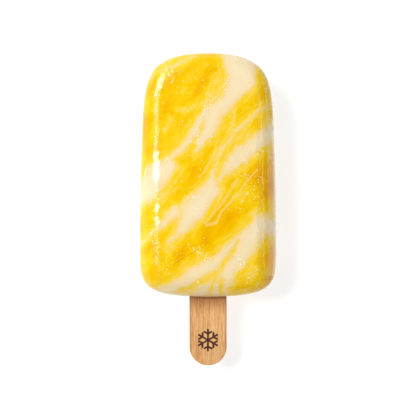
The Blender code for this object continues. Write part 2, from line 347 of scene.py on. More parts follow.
def marbling_group(kind):
    """How the cream lies in the mango, at a point of the bar in millimetres.

    Depth is the distance in millimetres from the cream's border, negative inside the cream. Thread is 1
    on a hair-thin thread of cream. The same group drives the colour and the relief, so that they agree.
    """
    tree, given = new_group(
        kind,
        f"marbling_{kind}",
        {"Point": "Vector"},
        {"Depth": "Float", "Golden": "Float", "Thread": "Float", "Mango Vein": "Float",
         "Cream Vein": "Float", "Flow": "Vector"},
    )
    node = partial(add_node, tree)
    place = node("SeparateXYZ", (given,))
    below = node("Math", (LEAN_FROM_MM, place.outputs["Z"]), "SUBTRACT")
    drop = node("Math", (below, 0.0), "MAXIMUM")
    across = node("Math", (drop, LEAN_ACROSS, place.outputs["X"]), "MULTIPLY_ADD")
    along = node("Math", (drop, LEAN_ALONG, place.outputs["Y"]), "MULTIPLY_ADD")
    along = node("Math", (along, MARBLING_Y / MM), "SUBTRACT")
    leaned = node("CombineXYZ", (across, along, place.outputs["Z"]))
    flow = node("VectorRotate", {"Vector": leaned, "Angle": -STREAK_ANGLE}, rotation_type="Z_AXIS")

    # Three sizes of waver, each drawn out along the flow, from 9 by 5 mm down to 1.3 by 0.7 mm
    point = leaned
    for long, wide, amount in ((9.0, 5.0, 2.6), (3.2, 1.7, 1.3), (1.3, 0.7, 0.4)):
        stretched = node("VectorMath", (flow, (1 / long, 1 / wide, 1 / wide)), "MULTIPLY")
        noise = node("TexNoise", {"Vector": stretched, "Scale": 1.0})
        centred = node("VectorMath", (noise.outputs["Color"], (0.5, 0.5, 0.5)), "SUBTRACT")
        point = node("VectorMath", (centred, (amount, amount, 0.0), point), "MULTIPLY_ADD")
    flat = node("VectorMath", (point, (1.0, 1.0, 0.0)), "MULTIPLY")

    cream, pale, sliver, thread, golden = (
        streaks_distance(tree, flat, streaks, blend)
        for streaks, blend in (
            (CREAM_STREAKS, 0.9), (PALE_PATCHES, 0.9), (MANGO_SLIVERS, 0.4), (CREAM_THREADS, 0.1),
            (GOLDEN_POOLS, 2.0),
        )
    )
    pale = node("Math", (pale, 0.35), "MAXIMUM")
    paled = node("Math", (cream, pale, 1.2), "SMOOTH_MIN")
    beside_sliver = node("Math", (sliver, -1.0, 0.9), "MULTIPLY_ADD")
    parted = node("Math", (paled, beside_sliver, 0.8), "SMOOTH_MAX")

    # Filaments: the border frays in threads 4 mm long and 0.6 mm wide, most of them mango
    fine = node("VectorMath", (flow, (1 / 4.0, 1 / 0.6, 1 / 0.8)), "MULTIPLY")
    filament = node(
        "TexNoise", {"Vector": fine, "Scale": 1.0, "Detail": 3.0, "Roughness": 0.65, "Distortion": 0.8}
    )
    frayed = node("Math", (filament, 0.41), "SUBTRACT")
    made = {
        "Depth": node("Math", (frayed, 1.6, parted), "MULTIPLY_ADD"),
        "Golden": node("MapRange", (golden, -1.0, 3.0, 1.0, 0.0), **SMOOTH),
        "Thread": node("MapRange", (thread, 0.0, 0.40, 1.0, 0.0), **SMOOTH),
        "Flow": flow,
    }
    # Veins run alongside the borders, 1.5 mm into the mango and 1 mm into the cream, and come and go
    spots = node("TexNoise", {"Vector": given, "Scale": 1 / 5.0, "Detail": 1.0})
    for name, level, low, high in (("Mango Vein", 1.5, 0.46, 0.60), ("Cream Vein", -1.0, 0.54, 0.40)):
        away = node("Math", (cream, level), "SUBTRACT")
        away = node("Math", (away,), "ABSOLUTE")
        vein = node("MapRange", (away, 0.08, 0.30, 1.0, 0.0), **SMOOTH)
        shown = node("MapRange", (spots, low, high), **SMOOTH)
        made[name] = node("Math", (vein, shown), "MULTIPLY")
    node("NodeGroupOutput", made)
    return tree


@contextmanager
def editing(mesh):
    """An editable form of a mesh, which goes back into it at the end."""
    form = bmesh.new()
    form.from_mesh(mesh)
    yield form
    form.to_mesh(mesh)
    form.free()


def values_of(items, name, width=1, kind=float):
    """One number or vector for each item of a mesh, as an array."""
    values = np.empty(len(items) * width, dtype=kind)
    items.foreach_get(name, values)
    return values.reshape(-1, width) if width > 1 else values


def bar_outline(count):
    """Evenly spaced points of the bar's outline from the tip round to the right, and the ways out there."""
    angle = 2 * np.pi * np.arange(OUTLINE_SAMPLES + 1) / OUTLINE_SAMPLES
    across, along = np.sin(angle), np.cos(angle)
    upper = along >= 0
    widest = BAR_LOW.y + WIDEST_FROM_STICK_END
    reach = np.where(upper, BAR_HIGH.y - widest, widest - BAR_LOW.y)
    share_along = np.abs(along) ** np.where(upper, 2 / TIP_LENGTH_POWER, 2 / STICK_END_LENGTH_POWER)
    share_across = np.abs(across) ** np.where(upper, 2 / TIP_WIDTH_POWER, 2 / STICK_END_WIDTH_POWER)
    taper = TIP_TAPER * share_along ** 2 * (1 + TAPER_EASE) / (share_along + TAPER_EASE)
    half_width = BAR_HIGH.x * (1 - np.where(upper, taper, 0.0))
    x, y = np.sign(across) * half_width * share_across, widest + np.sign(along) * reach * share_along
    fine = np.stack([x, y], axis=1)
    travelled = np.concatenate([[0.0], np.cumsum(np.linalg.norm(np.diff(fine, axis=0), axis=1))])
    step = travelled[-1] / count

    def at(distance):
        wrapped = np.mod(distance, travelled[-1])
        return np.stack([np.interp(wrapped, travelled, fine[:, i]) for i in (0, 1)], axis=1)

    stops = np.arange(count) * step
    forward = at(stops + step) - at(stops - step)
    outward = np.stack([-forward[:, 1], forward[:, 0]], axis=1)
    return at(stops), outward / np.linalg.norm(outward, axis=1)[:, None]


def along_bar(at_stick, at_tip, y):
    """A size that changes evenly along the bar, at places along it."""
    return at_stick + (at_tip - at_stick) * (y - BAR_LOW.y) / (BAR_HIGH.y - BAR_LOW.y)


def front_height(flat, thickness):
    """Height of the front face: the mould's draft along the bar, and a slight crown."""
    middle = (BAR_LOW.y + BAR_HIGH.y) / 2
    half_length = (BAR_HIGH.y - BAR_LOW.y) / 2
    across = np.clip(1 - (flat[..., 0] / BAR_HIGH.x) ** 2, 0, 1)
    along = np.clip(1 - ((flat[..., 1] - middle) / half_length) ** 2, 0, 1)
    return along_bar(thickness, thickness - DRAFT_TO_TIP, flat[..., 1]) + FRONT_CROWN * across * along


def bar_mesh(settings):
    """The frozen bar: a grid rolled up, its rows moved to the bar's back, edges, wall and front."""
    quarter = np.linspace(0, np.pi / 2, EDGE_RINGS + 1)
    inset, drop = 1 - np.cos(quarter), 1 - np.sin(quarter)
    wall = np.arange(1, WALL_RINGS) / WALL_RINGS
    # Every ring from the back's ridge to the front's: inset, share of the way out, drop, share up the
    # wall. The inset and the drop are shares of the edge radius.
    back_face = [(1.0, i / BACK_RINGS, 0.0, 0.0) for i in range(BACK_RINGS)]
    back_edge = [(inset[i], 1.0, drop[i], 0.0) for i in range(EDGE_RINGS, -1, -1)]
    wall_rings = [(0.0, 1.0, 1.0, share) for share in wall]
    front_edge = [(inset[i], 1.0, drop[i], 1.0) for i in range(EDGE_RINGS + 1)]
    front_face = [(1.0, 1 - (i + 1) / FRONT_RINGS, 0.0, 1.0) for i in range(FRONT_RINGS)]
    rings = np.array(back_face + back_edge + wall_rings + front_edge + front_face)

    rim, outward = bar_outline(BAR_SEGMENTS)
    radius = along_bar(settings.edge_radius_at_stick, settings.edge_radius_at_tip, rim[:, 1])
    outline = rim - outward * radius[:, None] * rings[:, 0][:, None, None]
    middle = (BAR_LOW.y + BAR_HIGH.y) / 2
    ridge = np.stack([np.zeros_like(outline[..., 0]),
                      middle + (outline[..., 1] - middle) * RIDGE_SHARE], axis=-1)
    out = rings[:, 1][:, None, None]
    flat = ridge * (1 - out) + outline * out
    top = front_height(flat, settings.thickness)
    drop_here, up = rings[:, 2][:, None] * radius, rings[:, 3][:, None]
    height = (1 - up) * drop_here + up * (top - drop_here)

    mesh = bpy.data.meshes.new("frozen_bar")
    with editing(mesh) as form:
        bmesh.ops.create_grid(form, x_segments=BAR_SEGMENTS, y_segments=len(rings) - 1, size=0.5)
    corners = values_of(mesh.vertices, "co", 3)
    segment = np.round((corners[:, 0] + 0.5) * BAR_SEGMENTS).astype(int) % BAR_SEGMENTS
    ring = np.round((corners[:, 1] + 0.5) * (len(rings) - 1)).astype(int)
    placed = np.concatenate([flat[ring, segment], height[ring, segment][:, None]], axis=1)
    mesh.vertices.foreach_set("co", placed.ravel())
    with editing(mesh) as form:
        # The seam of the roll first, then the ridge of each face
        for reach in (SEAM_WELD, RIDGE_WELD):
            open_ends = [vertex for vertex in form.verts if vertex.is_boundary]
            bmesh.ops.remove_doubles(form, verts=open_ends, dist=reach)
        bmesh.ops.recalc_face_normals(form, faces=form.faces)
    mesh.shade_smooth()
    return mesh


def crystal_mesh(skin, count):
    """Small round crystals half sunk in the skin, scattered by the skin's frost attribute."""
    places, ways = (values_of(skin.vertices, name, 3) for name in ("co", "normal"))
    frost, below = (values_of(skin.attributes[name].data, "value") for name in ("frost", "streak_depth"))
    # The front carries its own chains; elsewhere there are fewer crystals
    front_share = np.clip(ways[:, 2], 0.12, 1.0)
    flat = (places[:, :2] - [0.0, MARBLING_Y]) / MM
    thick = frost * 1.6 + 0.08
    for *stops, half, strength in FROST_CHAINS:
        for start, end in zip(stops, stops[1:]):
            run = np.subtract(end, start)
            share = np.clip((flat - start) @ run / (run @ run), 0, 1)
            away = np.linalg.norm(flat - start - share[:, None] * run, axis=1)
            thick += 0.7 * strength * np.exp(-((away / (1.5 * half)) ** 2)) * (places[:, 2] > FRONT_FROM)
    frost = thick * front_share * (places[:, 2] > BACK_BELOW)
    chance = np.random.default_rng(7)
    picked = chance.choice(len(frost), size=count, replace=False, p=frost / frost.sum())

    ball = bpy.data.meshes.new("crystal")
    with editing(ball) as form:
        bmesh.ops.create_icosphere(form, subdivisions=2, radius=1.0)
    shape = values_of(ball.vertices, "co", 3)
    faces = values_of(ball.polygons, "vertices", 3, int).ravel()
    bpy.data.meshes.remove(ball)

    # Half widths of 0.08 to 0.24 mm, small ones commonest; each is longer one way and flat
    radius = 0.08 + 0.16 * chance.random(count) ** 2.5
    turn = chance.random(count) * 2 * np.pi
    out = ways[picked]
    side = np.cross(out, np.where(np.abs(out[:, 2:]) > 0.9, [[1.0, 0.0, 0.0]], [[0.0, 0.0, 1.0]]))
    side /= np.linalg.norm(side, axis=1)[:, None]
    front = np.cross(out, side)
    long_way = side * np.cos(turn)[:, None] + front * np.sin(turn)[:, None]
    short_way = np.cross(out, long_way)
    stretch = 1.0 + 0.9 * chance.random(count)
    points = places[picked][:, None, :] + MM * radius[:, None, None] * (
        shape[None, :, 0:1] * long_way[:, None, :] * stretch[:, None, None]
        + shape[None, :, 1:2] * short_way[:, None, :]
        + shape[None, :, 2:3] * out[:, None, :] * 0.35
    )
    corners = faces[None, :] + (np.arange(count) * len(shape))[:, None]
    mesh = bpy.data.meshes.new("frost_crystals")
    mesh.from_pydata(points.reshape(-1, 3).tolist(), [], corners.reshape(-1, 3).tolist())
    own = mesh.attributes.new("streak_depth", "FLOAT", "POINT")
    own.data.foreach_set("value", np.repeat(below[picked], len(shape)))
    mesh.shade_smooth()
    return mesh


def relief_tree(depth_mm):
    """Geometry nodes that raise the cream's ridges and threads a little, and leave the bar else smooth."""
    tree, given = new_group(
        "GeometryNodeTree", "bar_relief", {"Geometry": "Geometry"}, {"Geometry": "Geometry"}
    )
    node = partial(add_node, tree)
    place = node("GeometryNodeInputPosition")
    in_mm = node("VectorMath", {0: place, "Scale": 1 / MM}, "SCALE")
    marbling = node("GeometryNodeGroup", (in_mm,), node_tree=marbling_group("GeometryNodeTree"))
    depth = marbling.outputs["Depth"]
    # The cream froze a little proud of the mango, its threads too, and the skin swells in two sizes
    proud = node("MapRange", (depth, -0.6, 0.6, 1.0, 0.0), interpolation_type="SMOOTHERSTEP")
    height = node("Math", (marbling.outputs["Thread"], 0.6, proud), "MULTIPLY_ADD")
    height = node("Math", (marbling.outputs["Mango Vein"], 0.4, height), "MULTIPLY_ADD")
    for size, share in ((8.0, 3.0), (2.2, 1.0)):
        swell = node("TexNoise", {"Vector": in_mm, "Scale": 1 / size, "Detail": 1.0})
        height = node("Math", (swell, share, height), "MULTIPLY_ADD")
    sunk = node("Math", (height, 3.0), "SUBTRACT")
    # The flat back stays flat, because the lolly lies on it
    up = node("SeparateXYZ", (place,))
    clear = node("MapRange", (up.outputs["Z"], 0.0005, 0.004), **SMOOTH)
    scaled = node("Math", (sunk, clear), "MULTIPLY")
    metres = node("Math", (scaled, depth_mm * MM), "MULTIPLY")
    offset = node("VectorMath", {0: node("GeometryNodeInputNormal"), "Scale": metres}, "SCALE")
    made = node("GeometryNodeSetPosition", {"Geometry": given, "Offset": offset})
    # Where frost crystals gather: in chains along the flow, thickest beside the cream's borders
    chain_place = node("VectorMath", (marbling.outputs["Flow"], (1 / 4.0, 1 / 1.3, 1 / 3.0)), "MULTIPLY")
    chain = node("TexNoise", {"Vector": chain_place, "Scale": 1.0, "Roughness": 0.6})
    chained = node("MapRange", (chain, 0.52, 0.70), **SMOOTH)
    off_border = node("Math", (depth, 0.5), "SUBTRACT")
    off_border = node("Math", (off_border,), "ABSOLUTE")
    beside = node("MapRange", (off_border, 0.3, 1.5, 1.0, 0.12), **SMOOTH)
    frosty = node("Math", (chained, beside), "MULTIPLY")
    frosty = node("Math", (frosty, clear), "MULTIPLY")
    for name, value in (("streak_depth", depth), ("frost", frosty)):
        made = node(
            "GeometryNodeStoreNamedAttribute", {"Geometry": made, "Name": name, "Value": value},
            data_type="FLOAT", domain="POINT",
        )
    node("NodeGroupOutput", (made,))
    return tree


def add_object(name, data, collection=None):
    """An object that shows a mesh, curve, light or camera, in the scene or in another collection."""
    made = bpy.data.objects.new(name, data)
    (collection or bpy.context.scene.collection).objects.link(made)
    return made


def add_piece(name, mesh, material, replaced=None):
    """A piece of the lolly, in place, riding on the lolly's one body."""
    piece = add_object(name, mesh)
    mesh.materials.clear()
    mesh.materials.append(material)
    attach(piece, "root")
    if replaced:
        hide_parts(replaced)
    return piece


def apply_modifiers(piece):
    """Makes what the modifiers show the piece's own mesh."""
    graph = bpy.context.evaluated_depsgraph_get()
    shown = bpy.data.meshes.new_from_object(piece.evaluated_get(graph))
    old = piece.data
    piece.modifiers.clear()
    piece.data = shown
    bpy.data.meshes.remove(old)


def cut_out(piece, **cutter):
    """Cuts an object, or every object of a collection, out of a piece."""
    cut = piece.modifiers.new("cut", "BOOLEAN")
    cut.operation = "DIFFERENCE"
    cut.solver = "EXACT"
    for name, value in cutter.items():
        setattr(cut, name, value)
    apply_modifiers(piece)


def new_material(name):
    """A material with an empty node tree, and that tree."""
    material = bpy.data.materials.new(name)
    material.use_nodes = True
    material.node_tree.nodes.clear()
    return material, material.node_tree


def finished(material, inputs):
    """The material, with a principled shader that has these inputs."""
    tree = material.node_tree
    add_node(tree, "OutputMaterial", {"Surface": add_node(tree, "BsdfPrincipled", inputs)})
    return material


def place_in_mm(tree):
    """The node with the place on the piece in millimetres."""
    place = add_node(tree, "TexCoord")
    return add_node(tree, "VectorMath", {0: place.outputs["Object"], "Scale": 1 / MM}, "SCALE")


def set_stops(ramp, stops):
    """Gives a ramp its colours: places from 0 to 1, each with an sRGB hex value or a linear colour."""
    stops = [(at, linear(paint) if isinstance(paint, str) else (*paint, 1.0)) for at, paint in stops]
    elements = ramp.color_ramp.elements
    while len(elements) > 1:
        elements.remove(elements[-1])
    elements[0].position, elements[0].color = stops[0]
    for at, paint in stops[1:]:
        elements.new(at).color = paint


def frozen_mango_and_cream():
    """Frozen mango sorbet marbled with cream, cast in a smooth mould, with a film of melt water.

    The mould gives a flat gloss, the melt film sharp highlights, and the ice under it a soft glow at
    the edges. Mango is palest next to the cream and deepest far from it.
    """
    material, tree = new_material("frozen_mango_and_cream")
    node = partial(add_node, tree)
    settings = bpy.context.scene.lolly_bar
    in_mm = place_in_mm(tree)
    marbling = node("Group", (in_mm,), node_tree=marbling_group("ShaderNodeTree"))

    # Clouds 9, 2.6 and 0.8 mm long deepen and pale the colour, as if the cream were nearer or farther
    limit = node("Math", (marbling.outputs["Golden"], 3.0, 2.4), "MULTIPLY_ADD")
    depth = node("Math", (marbling.outputs["Depth"], limit, 1.5), "SMOOTH_MIN")
    for sizes, from_depth, to_depth, amount in (
        ((9.0, 5.0, 5.0), 0.3, 2.5, 9.5), ((2.6, 1.3, 1.5), -1.5, 1.5, 3.4), ((0.8, 0.5, 0.6), 0.0, 2.0, 1.2),
    ):
        place = node("VectorMath", (marbling.outputs["Flow"], tuple(1 / size for size in sizes)), "MULTIPLY")
        cloud = node("TexNoise", {"Vector": place, "Scale": 1.0, "Roughness": 0.55})
        shift = node("Math", (cloud, 0.5), "SUBTRACT")
        share = node("MapRange", (marbling.outputs["Depth"], from_depth, to_depth, 0.0, amount))
        depth = node("Math", (shift, share, depth), "MULTIPLY_ADD")
    # Places on the ramp are (depth + 3 mm) / 10 mm
    value = node("MapRange", (depth, -3.0, 7.0))
    colour = node("ValToRGB", (value,))
    set_stops(colour, (
        (0.00, settings.cream_colour), (0.20, "#F5DFAE"), (0.26, "#F6DA98"), (0.29, "#F8D874"),
        (0.33, "#FAD656"), (0.37, "#FAD434"), (0.45, settings.mango_colour), (0.60, "#F7C602"),
        (0.75, "#F4B900"), (1.00, settings.deep_mango_colour),
    ))
    for name, strength, paint in (
        ("Thread", 0.5, "#FBE08C"), ("Mango Vein", 0.35, "#FBDF7C"), ("Cream Vein", 0.35, "#FAD75C"),
    ):
        factor = node("Math", (marbling.outputs[name], strength), "MULTIPLY")
        mixed = node("Mix", {"Factor": factor, "A": colour, "B": linear(paint)}, data_type="RGBA")
        colour = mixed.outputs["Result"]

    # The melt film lies in ragged patches, thickest on the left edge; elsewhere the skin is frosty
    ripple = node("TexNoise", {"Vector": in_mm, "Scale": 1 / 2.6, "Detail": 4.0, "Roughness": 0.7})
    flat = node("VectorMath", (in_mm, (1.0, 1.0, 0.0), (0.0, -MARBLING_Y / MM, 0.0)), "MULTIPLY_ADD")
    ragged = node("Math", (ripple, 10.0, streaks_distance(tree, flat, MELT_FILM, 1.0)), "MULTIPLY_ADD")
    film = node("MapRange", (ragged, 4.4, 4.8, 1.0, 0.0), **SMOOTH)

    # Ice grain, which frosts the highlights. Real grains are 0.3 mm across; these are 0.7 mm, to show
    grain = node("TexNoise", {"Vector": in_mm, "Scale": 1 / 0.7, "Detail": 1.0})
    across = node("SeparateXYZ", (in_mm,)).outputs["X"]
    outward = node("Math", (across,), "ABSOLUTE")
    frosty = node("MapRange", (outward, 14.0, 16.5), **SMOOTH)
    dry = node("Math", (1.0, film), "SUBTRACT")
    frosty = node("Math", (frosty, dry), "MULTIPLY")
    height = node("MapRange", (frosty, 0.0, 1.0, 0.12, 1.0))
    height = node("Math", (height, grain), "MULTIPLY")
    bump = node("Bump", {"Strength": 1.0, "Distance": 0.00015, "Height": height})
    # The film lies in waves 1.3 mm long, which break its highlights up, and is calmer on the right
    wave = node("TexNoise", {"Vector": in_mm, "Scale": 1 / 1.3})
    calm = node("MapRange", (across, 8.0, 14.0, 1.0, 0.1))
    wave = node("Math", (wave, calm), "MULTIPLY")
    film_bump = node("Bump", {"Strength": 1.0, "Distance": 0.00026, "Height": wave, "Normal": bump})
    return finished(material, {
        "Base Color": colour,
        "Roughness": node("MapRange", (frosty, 0.0, 1.0, 0.14, 0.15)),
        "IOR": 1.31,
        "Normal": bump,
        "Subsurface Weight": 0.07,
        "Subsurface Radius": (1.0, 0.9, 0.6),
        "Subsurface Scale": 0.0006,
        "Coat Weight": film,
        "Coat Roughness": node("MapRange", (film, 0.0, 1.0, 0.18, 0.04)),
        "Coat IOR": 1.56,
        "Coat Normal": film_bump,
    })


def frost_crystal():
    """Clear ice crystals caught in the skin of the bar: milky and wet, and painted paler than the mango,
    partly as a painted glint.
    """
    material, tree = new_material("frost_crystal")
    # The pale crystal colours are partly milky frost and partly painted glints, over mango and over cream
    mottle = add_node(tree, "TexNoise", {"Vector": place_in_mm(tree), "Scale": 1 / 0.9, "Detail": 1.0})
    pale_glint_ramp = add_node(tree, "ValToRGB", (mottle,))
    set_stops(pale_glint_ramp, ((0.46, "#FBDC60"), (0.66, "#FFF0B4")))
    depth = add_node(tree, "Attribute", attribute_name="streak_depth")
    on_mango = add_node(tree, "MapRange", (depth.outputs["Fac"], -0.4, 0.8))
    paints = {"Factor": on_mango, "A": linear("#FFF6DC"), "B": pale_glint_ramp}
    colour = add_node(tree, "Mix", paints, data_type="RGBA")
    return finished(material, {"Base Color": colour.outputs["Result"], "Roughness": 0.15, "IOR": 1.31})


def burned_birch():
    """Birch veneer cut into a flat stick, with a snow star burned into it.

    The grain runs along the stick in fine brown lines, painted shade browns its long edges, and the melt has
    soaked the wood brown next to the ice, with painted shade from the bar's edge over it.
    """
    material, tree = new_material("burned_birch")
    node = partial(add_node, tree)
    stick = bpy.context.scene.lolly_stick
    in_mm = place_in_mm(tree)
    place = node("SeparateXYZ", (in_mm,))
    # Grain lines 0.3 mm wide and 6 mm long, over broad bands 2.4 mm wide. The pores are short dark
    # dashes along the grain, drawn 0.2 mm wide because real ones are finer than a pixel.
    fibre, band, pore = (
        node("TexNoise", {
            "Vector": node("VectorMath", (in_mm, (1 / wide, 1 / long, 1 / deep)), "MULTIPLY"),
            "Scale": 1.0, "Detail": detail, "Roughness": roughness, "Distortion": distortion,
        })
        for wide, long, deep, detail, roughness, distortion in (
            (0.3, 6.0, 0.6, 4.0, 0.65, 0.3), (2.4, 30.0, 3.0, 2.0, 0.5, 0.0), (0.2, 1.5, 0.4, 1.0, 0.5, 0.0),
        )
    )
    mixed = node("Math", (fibre, 0.7), "MULTIPLY")
    mixed = node("Math", (band, 0.3, mixed), "MULTIPLY_ADD")
    wood = node("ValToRGB", (mixed,))
    set_stops(wood, (
        (0.32, "#B47842"), (0.43, "#D59C60"), (0.52, stick.wood_colour), (0.66, "#F3CA92"),
    ))
    # Pores make short brown dashes, and painted shade browns both long edges more than the face
    pored = node("MapRange", (pore, 0.58, 0.72, 0.0, 0.4), **SMOOTH)
    from_middle = node("Math", (place.outputs["X"],), "ABSOLUTE")
    # Painted shade on the rounded long edges, browner than the face
    painted_edge_shade = node("MapRange", (from_middle, 5.45, 5.8, 0.0, 0.5), **SMOOTH)
    pores_and_edge_shade = node("Math", (pored, painted_edge_shade), "MAXIMUM")
    # Melt soaks the wood brown, with painted shade from the bar's edge over it: strongest at the ice, gone
    # 6.5 mm from it
    ice_end = BAR_LOW.y / MM
    melt_stain_and_shade = node("MapRange", (place.outputs["Y"], ice_end - 6.5, ice_end - 0.5, 0.0, 0.5), **SMOOTH)

    # The star repeats every 60 degrees, so its distance is measured on one folded arm
    centre = (0.0, (STICK_LOW.y + stick.star_from_end) / MM, 0.0)
    from_star = node("VectorMath", (in_mm, centre), "SUBTRACT")
    x, y, _ = node("SeparateXYZ", (from_star,)).outputs
    angle = node("Math", (x, y), "ARCTAN2")
    folded = node("Math", (angle, math.radians(30)), "PINGPONG")
    radius = node("VectorMath", (node("CombineXYZ", (x, y)),), "LENGTH").outputs["Value"]
    on_arm = node("CombineXYZ", [
        node("Math", (radius, node("Math", (folded,), side)), "MULTIPLY") for side in ("COSINE", "SINE")
    ])
    arm = stick.star_size / 2 / MM
    fork = arm * STAR_TWIG_PLACE
    twig = STAR_TWIG_LENGTH / MM
    lines = {
        "arm": ((0.0, 0.0, 0.0), (arm, 0.0, 0.0)),
        "twig": ((fork, 0.0, 0.0), (fork + twig / 2, twig * math.sin(math.radians(60)), 0.0)),
    }
    scorch = streaks_distance(tree, on_arm, lines, 0.05)
    wobble = node("Math", (fibre, 0.35, scorch), "MULTIPLY_ADD")
    half_line = STAR_LINE / MM / 2
    char = node("MapRange", (wobble, half_line + 0.05, half_line + 0.32, 1.0, 0.0), **SMOOTH)
    on_face = node("Math", (place.outputs["Z"], STICK_HIGH.z / MM - 0.5), "GREATER_THAN")
    char = node("Math", (char, on_face), "MULTIPLY")
    for factor, paint in (
        (pores_and_edge_shade, linear("#A0602C")), (melt_stain_and_shade, linear("#9A5622")), (char, (*stick.char_colour, 1.0)),
    ):
        mixed = node("Mix", {"Factor": factor, "A": wood, "B": paint}, data_type="RGBA")
        wood = mixed.outputs["Result"]
    bump = node("Bump", {"Strength": 0.5, "Distance": 0.00004, "Height": fibre})
    return finished(material, {
        "Base Color": wood, "Roughness": 0.55, "Specular IOR Level": 0.3, "Normal": bump,
    })


def flat_bar_mesh(name, length, width, thickness, edge_bevel):
    """A flat bar along Y with half-round ends, centred on its own origin."""
    radius = width / 2
    straight = length / 2 - radius
    lean = radius * 4 / 3 * math.tan(math.pi / 8)
    curve = bpy.data.curves.new(name, "CURVE")
    curve.dimensions = "2D"
    curve.fill_mode = "BOTH"
    curve.extrude = thickness / 2
    curve.resolution_u = 24
    spline = curve.splines.new("BEZIER")
    # Where the outline goes, which way it runs there, and the reach of its handles before and after
    stops = [
        (radius, -straight, (0, 1), lean, 0.0),
        (radius, straight, (0, 1), 0.0, lean),
        (0.0, straight + radius, (-1, 0), lean, lean),
        (-radius, straight, (0, -1), lean, 0.0),
        (-radius, -straight, (0, -1), 0.0, lean),
        (0.0, -straight - radius, (1, 0), lean, lean),
    ]
    spline.bezier_points.add(len(stops) - 1)
    for point, (x, y, heading, before, after) in zip(spline.bezier_points, stops):
        point.handle_left_type = point.handle_right_type = "FREE"
        point.co = (x, y, 0.0)
        point.handle_left = (x - heading[0] * before, y - heading[1] * before, 0.0)
        point.handle_right = (x + heading[0] * after, y + heading[1] * after, 0.0)
    spline.use_cyclic_u = True
    guide = add_object(name, curve)
    graph = bpy.context.evaluated_depsgraph_get()
    mesh = bpy.data.meshes.new_from_object(guide.evaluated_get(graph))
    bpy.data.objects.remove(guide)
    bpy.data.curves.remove(curve)
    with editing(mesh) as form:
        bmesh.ops.remove_doubles(form, verts=form.verts, dist=1e-6)
        bmesh.ops.dissolve_limit(form, angle_limit=0.001, verts=form.verts, edges=form.edges)
        if edge_bevel:
            rim = [edge for edge in form.edges if abs(edge.verts[0].co.z - edge.verts[1].co.z) < 1e-7]
            bmesh.ops.bevel(form, geom=rim, offset=edge_bevel, segments=5, profile=0.5, affect="EDGES")
    mesh.name = name
    return mesh


def star_lines(centre, size):
    """Start, heading and length of each line of the snow star: three crossed lines and twelve twigs."""
    lines = []
    for i in range(6):
        heading = math.radians(30 + 60 * i)
        way = Vector((math.cos(heading), math.sin(heading)))
        if i < 3:
            lines.append((centre - way * size / 2, heading, size))
        fork = centre + way * (size / 2) * STAR_TWIG_PLACE
        for side in (-1, 1):
            lines.append((fork, heading + side * math.radians(60), STAR_TWIG_LENGTH))
    return lines


def star_cutter(centre, size, top):
    """Round-bottomed grooves along the star's lines, gathered in one collection."""
    radius = (STAR_LINE ** 2 / 4 + STAR_DEPTH ** 2) / (2 * STAR_DEPTH)
    collection = bpy.data.collections.new("star_grooves")
    bpy.context.scene.collection.children.link(collection)
    for number, (start, heading, length) in enumerate(star_lines(centre, size)):
        mesh = bpy.data.meshes.new(f"groove_{number}")
        round_bar = {"segments": 20, "radius1": radius, "radius2": radius, "depth": length}
        with editing(mesh) as form:
            bmesh.ops.create_cone(form, cap_ends=True, **round_bar)
        middle = start + Vector((math.cos(heading), math.sin(heading))) * length / 2
        place = Matrix.Translation((middle.x, middle.y, top - STAR_DEPTH + radius))
        mesh.transform(place @ Matrix.Rotation(heading, 4, "Z") @ Matrix.Rotation(math.pi / 2, 4, "Y"))
        add_object(f"groove_{number}", mesh, collection)
    return collection


def bar_in_scene():
    """The frozen bar, which the frost crystals and the stick need."""
    bar = bpy.data.objects.get("frozen_bar")
    if bar is None:
        raise RuntimeError("make the frozen bar first")
    return bar


def cut_slot(bar, size, middle, edge_bevel):
    """Cuts the stick's slot into the bar, with a hair of room round the wood."""
    room = 2 * SLOT_ROOM
    mesh = flat_bar_mesh("slot", size.y + room, size.x + room, size.z + room, edge_bevel)
    slot = add_object("slot", mesh)
    slot.location = middle
    cut_out(bar, object=slot)
    bpy.data.objects.remove(slot)


class LollyBarSettings(bpy.types.PropertyGroup):
    edge_radius_at_stick: FloatProperty(
        name="Edge Radius At Stick", description="Rounding of the bar's edges at the stick end",
        default=0.0081, min=0.002, max=0.010, **LENGTH,
    )
    edge_radius_at_tip: FloatProperty(
        name="Edge Radius At Tip", description="Rounding of the bar's edges at the tip", default=0.0049,
        min=0.002, max=0.010, **LENGTH,
    )
    thickness: FloatProperty(
        name="Thickness", description="Thickness of the bar at its stick end", default=0.024, min=0.015,
        max=0.035, **LENGTH,
    )
    relief: FloatProperty(
        name="Relief (mm)", description="How far the cream's ridges stand out of the mango, in millimetres",
        default=0.05, min=0.0, max=0.3,
    )
    crystals: IntProperty(
        name="Frost Crystals", description="How many frost crystals show in the bar's skin", default=1050,
        min=0, max=2400,
    )
    cream_colour: FloatVectorProperty(
        name="Cream Colour", description="Colour of the cream in the middle of a streak",
        default=linear("#F6E5BE")[:3], **COLOUR,
    )
    mango_colour: FloatVectorProperty(
        name="Mango Colour", description="Colour of the mango beside the cream",
        default=linear("#F9CF14")[:3], **COLOUR,
    )
    deep_mango_colour: FloatVectorProperty(
        name="Deep Mango Colour", description="Colour of the mango where it lies thickest",
        default=linear("#EAA500")[:3], **COLOUR,
    )


class LollyStickSettings(bpy.types.PropertyGroup):
    edge_bevel: FloatProperty(
        name="Edge Bevel", description="Rounding of the stick's edges", default=0.0003, min=0.0, max=0.0008,
        **LENGTH,
    )
    star_size: FloatProperty(
        name="Star Size", description="Width of the snow star burned into the stick", default=0.0068,
        min=0.002, max=0.010, **LENGTH,
    )
    star_from_end: FloatProperty(
        name="Star From End", description="Distance of the star's middle from the stick's end",
        default=0.0082, min=0.005, max=0.018, **LENGTH,
    )
    wood_colour: FloatVectorProperty(
        name="Wood Colour", description="Colour of the wood between its grain lines",
        default=linear("#E4B176")[:3], **COLOUR,
    )
    char_colour: FloatVectorProperty(
        name="Char Colour", description="Colour of the burned star",
        default=linear("#48190D")[:3], **COLOUR,
    )


